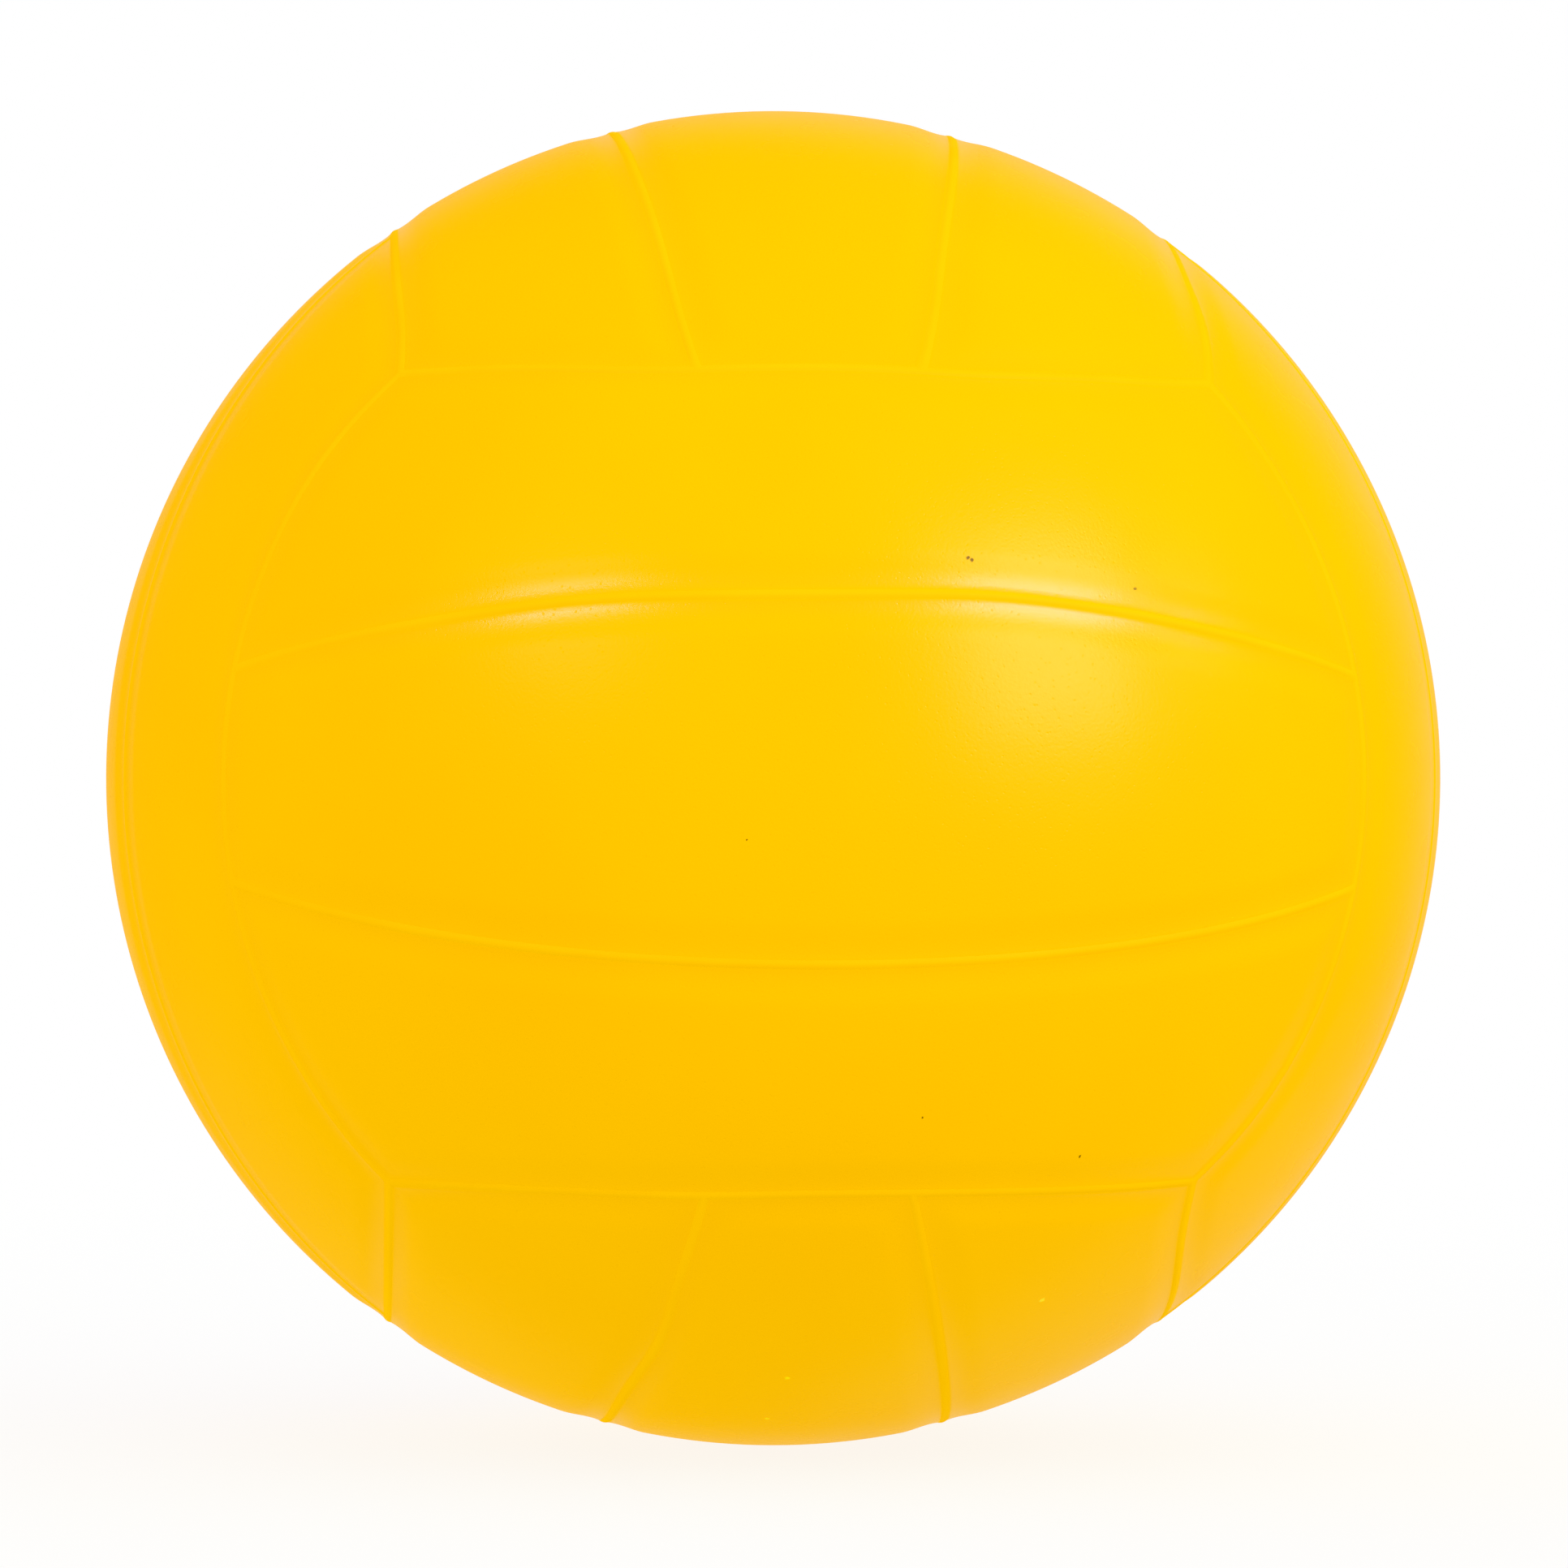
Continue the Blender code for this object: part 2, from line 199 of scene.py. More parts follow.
def blend(low, high, share):
    """Row part of the way from one row to another."""
    return tuple(mix(a, b, share) for a, b in zip(low, high))


def middle_strip(inset):
    """Lowest and highest row of a middle strip, drawn in from its seams by an angle."""
    height = STRIP_SEAM_HEIGHT - inset
    return (-STRIP_SEAM_HEIGHT, -height), (STRIP_SEAM_HEIGHT, height)


def outer_strip(inset):
    """Lowest and highest row of an outer strip, drawn in from its seams by an angle."""
    return (STRIP_SEAM_HEIGHT, STRIP_SEAM_HEIGHT + inset), (0, FACE_SEAM_HEIGHT - inset)


def strip_seam_angle(point):
    """Angle of a point of a face above the seam between its middle and its upper strip."""
    across = point.y * math.cos(STRIP_SEAM_HEIGHT) - point.z * math.sin(STRIP_SEAM_HEIGHT)
    return math.asin(max(-1, min(1, across)))


def end_seam_angle(point):
    """Angle from a point of a face to the seam at the end of its strips."""
    return FACE_SEAM_POLAR - math.acos(max(-1, min(1, point.z)))


def middle_seam_angles(point):
    """Angles from a point of a middle panel to the seams round it."""
    mirrored = Vector((point.x, -point.y, point.z))
    return -strip_seam_angle(point), -strip_seam_angle(mirrored), end_seam_angle(point)


def outer_seam_angles(point):
    """Angles from a point of an outer panel to the seams round it."""
    return strip_seam_angle(point), FACE_SEAM_HEIGHT - math.asin(point.y), end_seam_angle(point)


def face_seam_distance(point):
    """Distance from a point of a face to the nearest seam."""
    upper = Vector((point.x, abs(point.y), point.z))
    angles = outer_seam_angles(upper)
    return min(abs(angle) for angle in angles) * BALL_RADIUS


def place_shifts():
    """Where the seams stray from the even layout, as places on the ball and the moves there."""
    shifts = []
    for (across, down), (right, lower) in SEAM_SHIFTS.values():
        place = pixel_point(across, down)
        shifts.append((place, pixel_point(across + right, down + lower) - place))
    return shifts


def hand_laid(direction, shifts):
    """Direction on the ball, moved with the hand-laid seams near it."""
    point = direction * BALL_RADIUS
    moved = point.copy()
    for place, move in shifts:
        moved += move * math.exp(-(point - place).length_squared / SHIFT_REACH ** 2)
    return moved.normalized()


# Cover panels

def soft_least(values, softness):
    """Least of some values, eased where two of them are close."""
    return -softness * math.log(sum(math.exp(-value / softness) for value in values))


def trough(distance, eased):
    """Height of a panel's surface over the ball's, at a plain and an eased distance from the nearest seam."""
    risen = 1 - smooth_step(PANEL_EDGE, EDGE_RISE_START, distance)
    return TROUGH_DEPTH * (smooth_step(TROUGH_FLOOR, TROUGH_EDGE, eased) - 1) + EDGE_RISE * risen


def lip(distance):
    """Height of the panel's surface over the ball's, at a distance from the edge of the valve hole."""
    return -LIP_DEPTH * math.exp(-max(0, distance) / LIP_FADE)


def even_shares(cells):
    """Stations from -1 to 1 with the given number of cells between them."""
    return [step / cells * 2 - 1 for step in range(cells + 1)]


def block_shares(half_length, cells):
    """Stations from -1 to 1 that are fine in a block round the middle and coarse beside it."""
    block = VALVE_BLOCK_CELL * VALVE_BLOCK_CELLS / half_length
    fine = [block * step / VALVE_BLOCK_CELLS for step in range(VALVE_BLOCK_CELLS)]
    coarse = [mix(block, 1, step / cells) for step in range(cells + 1)]
    upper = fine + coarse
    return [-share for share in upper[:0:-1]] + upper


def grid_points(strip, column_shares, row_shares):
    """Points of the unit ball for each row and column of a panel, in the face's own axes."""
    insets = [step / BALL_RADIUS for step in EDGE_STEPS]
    low, high = strip(insets[-1])
    rows = [strip(inset)[0] for inset in insets[:-1]]
    rows += [blend(low, high, (share + 1) / 2) for share in row_shares]
    rows += [strip(inset)[1] for inset in insets[-2::-1]]
    grid = []
    for tilt, height in rows:
        ends = [row_end(tilt, height, FACE_SEAM_POLAR - inset) for inset in insets]
        arcs = [-end for end in ends[:-1]]
        arcs += [share * ends[-1] for share in column_shares]
        arcs += ends[-2::-1]
        grid.append([row_point(tilt, height, arc) for arc in arcs])
    return grid


def ring_point(column, row):
    """Where a corner of the block round the valve hole goes, or nothing if it stays.

    The column and the row are counted from the panel's middle.
    """
    ring = max(abs(column), abs(row))
    if not VALVE_HOLE_CELLS <= ring <= VALVE_BLOCK_CELLS:
        return None
    side = math.pi / 4
    if abs(column) == ring:
        turn = side * row / column + (0 if column > 0 else math.pi)
    else:
        turn = math.pi / 2 - side * column / row + (0 if row > 0 else math.pi)
    index = ring - VALVE_HOLE_CELLS
    round_point = Vector((math.cos(turn), math.sin(turn))) * VALVE_RING_RADII[index]
    square_point = Vector((column, row)) * VALVE_BLOCK_CELL
    x, y = square_point.lerp(round_point, VALVE_RING_ROUNDNESS[index]) / BALL_RADIUS
    return Vector((x, y, math.sqrt(1 - x * x - y * y)))


def panel_mesh(name, strip, seam_angles, turn, column_shares, row_shares, valve, shifts):
    """Closed mesh of a panel in the ball's axes, with each corner's distance from the nearest seam."""
    grid = grid_points(strip, column_shares, row_shares)
    middle_row = len(grid) // 2
    middle_column = len(grid[0]) // 2
    bm = bmesh.new()
    seam_layer = bm.verts.layers.float.new("seam_distance")
    corners = []
    for row, points in enumerate(grid):
        corners.append([])
        for column, point in enumerate(points):
            ring = ring_point(column - middle_column, row - middle_row) if valve else None
            point = ring or point
            distances = [angle * BALL_RADIUS for angle in seam_angles(point)]
            height = trough(min(distances), soft_least(distances, CORNER_SOFTNESS))
            if valve:
                height += lip(BALL_RADIUS * math.hypot(point.x, point.y) - VALVE_HOLE_RADIUS)
            corner = bm.verts.new(hand_laid(turn @ point, shifts) * (BALL_RADIUS + height))
            corner[seam_layer] = max(0, min(distances))
            corners[-1].append(corner)
    for row, (lower, upper) in enumerate(zip(corners, corners[1:])):
        for column in range(len(lower) - 1):
            reach = max(abs(column + 0.5 - middle_column), abs(row + 0.5 - middle_row))
            if valve and reach < VALVE_HOLE_CELLS:
                continue
            bm.faces.new((lower[column], lower[column + 1], upper[column + 1], upper[column]))
    close_underside(bm, seam_layer)
    mesh = bpy.data.meshes.new(name)
    bm.to_mesh(mesh)
    bm.free()
    mesh.shade_smooth()
    mesh.set_sharp_from_angle(angle=SHARP_ANGLE)
    return mesh


def close_underside(bm, seam_layer):
    """Give a panel its underside and its walls, which stand clear of the ribs under a thin edge."""
    loose = [corner for corner in bm.verts if not corner.link_faces]
    bmesh.ops.delete(bm, geom=loose, context="VERTS")
    raised = bmesh.ops.extrude_face_region(bm, geom=bm.faces[:])["geom"]
    for corner in raised:
        if isinstance(corner, bmesh.types.BMVert):
            on_rib = corner[seam_layer] < RIB_HALF_WIDTH
            radius = corner.co.length - EDGE_THICKNESS if on_rib else PANEL_UNDERSIDE
            corner.co = corner.co.normalized() * radius
    bmesh.ops.recalc_face_normals(bm, faces=bm.faces)


def make_panels(material, shifts):
    """The eighteen panels, each in the place of its node."""
    half_width = STRIP_SEAM_HEIGHT * BALL_RADIUS - EDGE_STEPS[-1]
    half_length = FACE_SEAM_POLAR * BALL_RADIUS - EDGE_STEPS[-1]
    for face, (length, width, outward, strips) in FACES.items():
        for strip, side in zip(strips, (-1, 0, 1)):
            node = f"{face}_{strip}_panel"
            turn = face_frame(length * (side or 1), width * (side or 1), outward)
            valve = node == "back_middle_panel"
            if valve:
                columns = block_shares(half_length, VALVE_PANEL_CELLS[0])
                rows = block_shares(half_width, VALVE_PANEL_CELLS[1])
            else:
                cells = OUTER_PANEL_CELLS if side else MIDDLE_PANEL_CELLS
                columns, rows = (even_shares(count) for count in cells)
            layout = (outer_strip, outer_seam_angles) if side else (middle_strip, middle_seam_angles)
            mesh = panel_mesh(node + "_cover", *layout, turn, columns, rows, valve, shifts)
            add_piece(mesh, material, node)


# Ribbed carcass

def face_rows(strip_cells):
    """Rows of a face from its lower to its upper seam, with a row on each seam between its strips."""
    lower, middle, upper = strip_cells
    low_seam, high_seam = middle_strip(0)
    top_seam = outer_strip(0)[1]
    bottom_seam = tuple(-value for value in top_seam)
    rows = [blend(bottom_seam, low_seam, step / lower) for step in range(lower)]
    rows += [blend(low_seam, high_seam, step / middle) for step in range(middle)]
    rows += [blend(high_seam, top_seam, step / upper) for step in range(upper + 1)]
    return rows


def column_share(tilt, height):
    """Where a neighbouring face's row of this tilt and height meets the seam, as a share of its half arc."""
    end = row_point(tilt, height, row_end(tilt, height, FACE_SEAM_POLAR))
    return math.asin(end.y / math.cos(FACE_SEAM_HEIGHT)) / FACE_SEAM_HALF_ARC


def ball_grid(bm, radius, strip_cells):
    """Add a ball of six faces whose cells follow the seams, and return the cells of each panel's field."""
    rows = face_rows(strip_cells)
    shares = [column_share(*row) for row in rows]
    lower, middle, _ = strip_cells
    breaks = (0, lower, lower + middle, len(rows) - 1)
    fields = []
    for length, width, outward, _ in FACES.values():
        turn = face_frame(length, width, outward)
        corners = []
        for tilt, height in rows:
            end = row_end(tilt, height, FACE_SEAM_POLAR)
            points = [row_point(tilt, height, share * end) for share in shares]
            corners.append([bm.verts.new(turn @ point * radius) for point in points])
        strips = []
        for below, above in zip(corners, corners[1:]):
            cells = zip(below, below[1:], above[1:], above)
            strips.append([bm.faces.new(cell) for cell in cells])
        fields += [sum(strips[first:last], []) for first, last in zip(breaks, breaks[1:])]
    bmesh.ops.remove_doubles(bm, verts=bm.verts, dist=WELD)
    return fields


def seam_distance(direction):
    """Distance over the ball from a direction to the nearest seam."""
    for length, width, outward, _ in FACES.values():
        point = Vector((direction.dot(length), direction.dot(width), direction.dot(outward)))
        if end_seam_angle(point) >= -WELD and abs(point.y) <= math.sin(FACE_SEAM_HEIGHT) + WELD:
            return face_seam_distance(point)
    return 0


def rib_height(distance):
    """Height of a rib over the ball's surface, at a distance from the middle of the seam."""
    return -RIB_SETBACK - RIB_CROWN * (1 - math.cos(math.pi * distance / RIB_WAVE)) / 2


def raise_ribs(bm, fields, shifts):
    """Draw each panel's field in from its seams and sink it, so that round ribs stand between the fields."""
    for field in fields:
        drawn = 0
        for step in RIB_STEPS:
            bmesh.ops.inset_region(
                bm, faces=field, thickness=step - drawn, use_boundary=True, use_even_offset=True)
            drawn = step
    seam_layer = bm.verts.layers.float.new("seam_distance")
    for corner in bm.verts:
        direction = corner.co.normalized()
        distance = min(seam_distance(direction), RIB_HALF_WIDTH)
        corner.co = hand_laid(direction, shifts) * (BALL_RADIUS + rib_height(distance))
        corner[seam_layer] = distance
    floors = sum(fields, [])
    sunk = bmesh.ops.extrude_face_region(bm, geom=floors)["geom"]
    bmesh.ops.delete(bm, geom=floors, context="FACES")
    for corner in sunk:
        if isinstance(corner, bmesh.types.BMVert):
            corner.co = corner.co.normalized() * CARCASS_RADIUS


def make_carcass(material, shifts):
    """Hollow ball with its ribs in the seams, open at the valve."""
    bm = bmesh.new()
    fields = ball_grid(bm, BALL_RADIUS, CARCASS_STRIP_CELLS)
    raise_ribs(bm, fields, shifts)
    bmesh.ops.recalc_face_normals(bm, faces=bm.faces)
    mesh = bpy.data.meshes.new("carcass")
    bm.to_mesh(mesh)
    bm.free()

    hollow = bmesh.new()
    ball_grid(hollow, CARCASS_INSIDE, HOLLOW_STRIP_CELLS)
    hole = bmesh.new()
    place = Matrix.Translation((0, BALL_RADIUS, 0)) @ Matrix.Rotation(math.pi / 2, 4, "X")
    bmesh.ops.create_cone(
        hole, cap_ends=True, segments=TURN_STEPS, radius1=VALVE_HOLE_RADIUS, radius2=VALVE_HOLE_RADIUS,
        depth=BALL_RADIUS, matrix=place)
    shell = bpy.data.objects.new("carcass_shell", mesh)
    bpy.context.scene.collection.objects.link(shell)
    cutters = [new_cutter("carcass_hollow", hollow), new_cutter("carcass_valve_hole", hole)]
    for cutter in cutters:
        modifier = shell.modifiers.new(cutter.name, "BOOLEAN")
        modifier.operation = "DIFFERENCE"
        modifier.solver = "MANIFOLD"
        modifier.object = cutter
    evaluated = shell.evaluated_get(bpy.context.evaluated_depsgraph_get())
    cut_mesh = bpy.data.meshes.new_from_object(evaluated)
    for used in [shell] + cutters:
        bpy.data.objects.remove(used)
    cut_mesh.name = "ribbed_carcass_skin"
    cut_mesh.materials.clear()
    cut_mesh.shade_smooth()
    cut_mesh.set_sharp_from_angle(angle=SHARP_ANGLE)
    add_piece(cut_mesh, material, "ribbed_carcass")


def new_cutter(name, bm):
    """A shape that is only used to cut others."""
    bmesh.ops.recalc_face_normals(bm, faces=bm.faces)
    mesh = bpy.data.meshes.new(name)
    bm.to_mesh(mesh)
    bm.free()
    cutter = bpy.data.objects.new(name, mesh)
    bpy.context.scene.collection.objects.link(cutter)
    return cutter


# Valve

def rounded(profile, radius):
    """Profile with an arc in place of each corner that has a neighbour on both sides."""
    points = [Vector(point) for point in profile]
    outline = [points[0]]
    for before, corner, after in zip(points, points[1:], points[2:]):
        shorter = min((before - corner).length, (after - corner).length)
        reach = min(radius, shorter / SIDE_PER_ROUND)
        start = corner + (before - corner).normalized() * reach
        end = corner + (after - corner).normalized() * reach
        for step in range(ROUND_STEPS + 1):
            share = step / ROUND_STEPS
            outline.append(start.lerp(corner, share).lerp(corner.lerp(end, share), share))
    return outline + [points[-1]]


def turned_mesh(name, profile, closed):
    """Mesh turned about the valve's axis, from a half section of distances from the axis and along it."""
    bm = bmesh.new()
    points = [bm.verts.new((radius, along, 0)) for radius, along in profile]
    edges = [bm.edges.new(pair) for pair in zip(points, points[1:])]
    if closed:
        edges.append(bm.edges.new((points[-1], points[0])))
    bmesh.ops.spin(
        bm, geom=points + edges, cent=(0, 0, 0), axis=Y, angle=math.tau, steps=TURN_STEPS, use_merge=True)
    bmesh.ops.remove_doubles(bm, verts=bm.verts, dist=WELD)
    bmesh.ops.recalc_face_normals(bm, faces=bm.faces)
    mesh = bpy.data.meshes.new(name)
    bm.to_mesh(mesh)
    bm.free()
    mesh.shade_smooth()
    mesh.set_sharp_from_angle(angle=SHARP_ANGLE)
    return mesh


def make_valve(body_material, core_material):
    """The rubber seat with its flange and boss, and the plug that the needle goes into."""
    bore = PLUG_RADIUS + LAYER_GAP
    recess = PLUG_HEAD_RADIUS + LAYER_GAP
    seat = VALVE_FACE - PLUG_HEAD - LAYER_GAP
    flange_low = flange_edge_height()
    flange_high = flange_low + (FLANGE_RADIUS - VALVE_RADIUS) * FLANGE_SLOPE
    start, end = (mix(VALVE_END, seat, share) for share in BORE_BREAK)
    body = rounded([
        (bore, start),
        (bore, seat),
        (recess, seat),
        (recess, VALVE_FACE),
        (VALVE_RADIUS, VALVE_FACE),
        (VALVE_RADIUS, flange_high),
        (FLANGE_RADIUS, flange_low),
        (FLANGE_RADIUS, flange_low - FLANGE_EDGE),
        (VALVE_RADIUS, flange_high - FLANGE_THICKNESS),
        (VALVE_RADIUS, VALVE_END),
        (bore, VALVE_END),
        (bore, end),
    ], RUBBER_ROUND)
    add_piece(turned_mesh("valve_body_rubber", body, closed=True), body_material, "valve_body")
    bulb_top = VALVE_END - LAYER_GAP
    channel_end = PLUG_END + PLUG_FLOOR
    core = rounded([
        (0, channel_end),
        (NEEDLE_RADIUS, channel_end),
        (NEEDLE_RADIUS, VALVE_FACE - NEEDLE_LEAD),
        (NEEDLE_RADIUS + NEEDLE_LEAD, VALVE_FACE),
        (PLUG_HEAD_RADIUS, VALVE_FACE),
        (PLUG_HEAD_RADIUS, VALVE_FACE - PLUG_HEAD),
        (PLUG_RADIUS, VALVE_FACE - PLUG_HEAD),
        (PLUG_RADIUS, bulb_top),
        (PLUG_RADIUS + PLUG_BULB, bulb_top),
        (PLUG_RADIUS, PLUG_END),
        (0, PLUG_END),
    ], RUBBER_ROUND)
    add_piece(turned_mesh("valve_core_rubber", core, closed=False), core_material, "valve_core")


def flange_edge_height():
    """Height of the flange's outer edge, close under the bladder."""
    bladder_inside = -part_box("bladder")[0].y - BLADDER_THICKNESS
    return math.sqrt(bladder_inside ** 2 - FLANGE_RADIUS ** 2) - 2 * LAYER_GAP


# Pieces

def add_piece(mesh, material, node):
    """Put a mesh in the place of a node of the part."""
    mesh.materials.append(material)
    piece = bpy.data.objects.new(mesh.name, mesh)
    bpy.context.scene.collection.objects.link(piece)
    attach(piece, "root")
    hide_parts(node)


# Material nodes

def new_tree(material):
    """Empty node tree of a material or world."""
    material.use_nodes = True
    material.node_tree.nodes.clear()
    return material.node_tree


def add_node(tree, kind, inputs=None, **settings):
    """Add a node, set it up, and link or fill its inputs."""
    node = tree.nodes.new(kind)
    for key, value in settings.items():
        setattr(node, key, value)
    for key, value in (inputs or {}).items():
        socket = node.inputs[key]
        if isinstance(value, bpy.types.NodeSocket):
            tree.links.new(value, socket)
        else:
            socket.default_value = value
    return node


def noise(tree, coords, size, detail=2, roughness=0.5):
    """Soft noise from 0 to 1 with features of about the given size."""
    inputs = {"Vector": coords, "Scale": 1 / size, "Detail": detail, "Roughness": roughness}
    return add_node(tree, "ShaderNodeTexNoise", inputs).outputs[0]


def spots(tree, coords, spacing):
    """Scattered points a given distance apart: the distance to the nearest, and its own random colour."""
    return add_node(tree, "ShaderNodeTexVoronoi", {"Vector": coords, "Scale": 1 / spacing})


def ramp(tree, value, low, high, to_low=0, to_high=1):
    """Smooth change of a value from one range to another."""
    inputs = {"Value": value, "From Min": low, "From Max": high, "To Min": to_low, "To Max": to_high}
    return add_node(tree, "ShaderNodeMapRange", inputs, interpolation_type="SMOOTHSTEP").outputs[0]


def maths(tree, operation, first, second):
    """Result of one sum on two values."""
    return add_node(tree, "ShaderNodeMath", {0: first, 1: second}, operation=operation).outputs[0]


def vectors(tree, operation, first, second=(0, 0, 0)):
    """Vector that results from one sum on two vectors."""
    return add_node(tree, "ShaderNodeVectorMath", {0: first, 1: second}, operation=operation).outputs[0]


def measure(tree, operation, first, second=(0, 0, 0)):
    """Value that results from one sum on two vectors."""
    node = add_node(tree, "ShaderNodeVectorMath", {0: first, 1: second}, operation=operation)
    return node.outputs["Value"]


def mix_values(tree, share, first, second):
    """Value part of the way from the first to the second."""
    return add_node(tree, "ShaderNodeMix", {0: share, 2: first, 3: second}).outputs[0]


def mix_colours(tree, share, first, second):
    """Colour part of the way from the first to the second."""
    inputs = {0: share, 6: first, 7: second}
    return add_node(tree, "ShaderNodeMix", inputs, data_type="RGBA").outputs[2]


def relief(tree, height, depth=1):
    """Bump from a height in units of the given depth."""
    return add_node(tree, "ShaderNodeBump", {"Strength": 1, "Distance": depth, "Height": height}).outputs[0]


def finish_material(tree, shader):
    """Send a shader to the surface."""
    add_node(tree, "ShaderNodeOutputMaterial", {"Surface": shader.outputs[0]})


# Materials

COVER_YELLOW = (0.985, 0.530, 0.000, 1)
COVER_DEEP_YELLOW = (0.980, 0.518, 0.000, 1)
SPECK_BROWN = (0.16, 0.075, 0.004, 1)
SPECK_PALE = (1.0, 0.77, 0.80, 1)
# The ribs' yellow is the carcass rubber's own colour lifted a little lighter and bluer than the cover's: a
# painted sheen for the pale light that the ribs catch
RIB_SHEEN_YELLOW = (0.988, 0.545, 0.0010, 1)
RIB_DEEP_SHEEN_YELLOW = (0.984, 0.532, 0.0005, 1)
# Thread colours: the pale nylon of the threads, and a painted shade of grey for the gaps between them
THREAD_GAP_SHADE = (0.42, 0.40, 0.36, 1)
THREAD_PALE = (0.82, 0.80, 0.74, 1)

# Values of the noise between which a colour or a roughness changes
TONE_CHANGE = (0.35, 0.65)
ROUGHNESS_CHANGE = (0.3, 0.7)
BLOOM_CHANGE = (0.4, 0.75)

# Grain of the cover
COVER_TONE_SIZE = 0.045
GRAIN_SIZE = 0.00050
GRAIN_HARSHNESS = 0.6
GRAIN_DEPTH = 0.000028
PIT_SPACING = 0.0011
PIT_EDGE = (0.05, 0.22)
PIT_DEPTH = 0.000020

# Gloss of the cover: the field's at the left and at the right, the seams', and its share in pits and at edges
FIELD_GLOSS = (0.026, 0.076)
FIELD_GLOSS_CHANGE = 0.015
FIELD_ROUGHNESS = (0.25, 0.28)
FIELD_ROUGHNESS_SIZE = 0.012
FIELD_TINT = (1.0, 0.80, 0.55, 1)
SEAM_GLOSS = 0.175
SEAM_GLOSS_START = 0.0011
SEAM_GLOSS_END = 0.0046
SEAM_ROUGHNESS = 0.22
SEAM_TINT = (1.0, 0.64, 1.0, 1)
PIT_GLOSS = 0.5
EDGE_GLOSS = 0.05
EDGE_MATTE = (0.00075, 0.00125)

# Scattered specks of dirt: spacing, edge as a share of it, which of them show, and how strongly
DIRT_SPACING = 0.021
DIRT_EDGE = (0.008, 0.014)
DIRT_CHOSEN = (0.70, 0.95)
DIRT_SHARE = 0.8

# Carcass rubber
RIB_TONE_SIZE = 0.020
RIB_ROUGHNESS = (0.52, 0.60)
RIB_ROUGHNESS_SIZE = 0.006
RIB_GRAIN_SIZE = 0.0007
RIB_GRAIN_DEPTH = 0.000006
RIB_GLOSS = 0.01

# Moulded rubbers: colour, colour where it has bloomed, and range of roughness
RUBBERS = {
    "yellow_valve_rubber": ((0.94, 0.55, 0.003, 1), (0.96, 0.60, 0.02, 1), (0.42, 0.55)),
    "black_valve_rubber": ((0.018, 0.018, 0.018, 1), (0.04, 0.04, 0.038, 1), (0.40, 0.55)),
    "black_bladder_rubber": ((0.030, 0.030, 0.030, 1), (0.055, 0.053, 0.050, 1), (0.50, 0.66)),
}
BLOOM_SIZE = 0.0035
RUBBER_ROUGHNESS_SIZE = 0.0015
RUBBER_GRAIN_SIZE = 0.0003
RUBBER_GRAIN_DEPTH = 0.00001
RUBBER_HARSHNESS = 0.6
RUBBER_GLOSS = 0.4

# Winding: turns of its three sets of threads, scale of their waves, their wander, depth and roughness
THREAD_TURNS = ((0.5, 0.2, 0.1), (-0.7, 0.9, 0.3), (0.2, -0.6, 1.2))
THREAD_SCALE = 300
THREAD_WANDER = 0.6
THREAD_DEPTH = 0.0003
THREAD_ROUGHNESS = 0.7

# Marks on the front: the pixel where each shows, its radius and its colour
MARK_RAGGEDNESS = 0.0006
MARK_CORE = 0.4
MARK_SHARE = 0.9
MARKS = {
    "dark_scratch": ((1193, 687), 0.00040, SPECK_BROWN),
    "dark_scratch_tail": ((1198, 690), 0.00034, SPECK_BROWN),
    "speck_over_seam": ((1400, 725), 0.00047, SPECK_BROWN),
    "speck_under_middle": ((920, 1035), 0.00021, SPECK_BROWN),
    "speck_low_right": ((1330, 1425), 0.00029, SPECK_BROWN),
    "speck_low_middle": ((1136, 1377), 0.00022, SPECK_BROWN),
    "pale_rub_left": ((970, 1698), 0.00060, SPECK_PALE),
    "pale_rub_low": ((945, 1748), 0.00060, SPECK_PALE),
    "pale_rub_right": ((1284, 1602), 0.00060, SPECK_PALE),
}


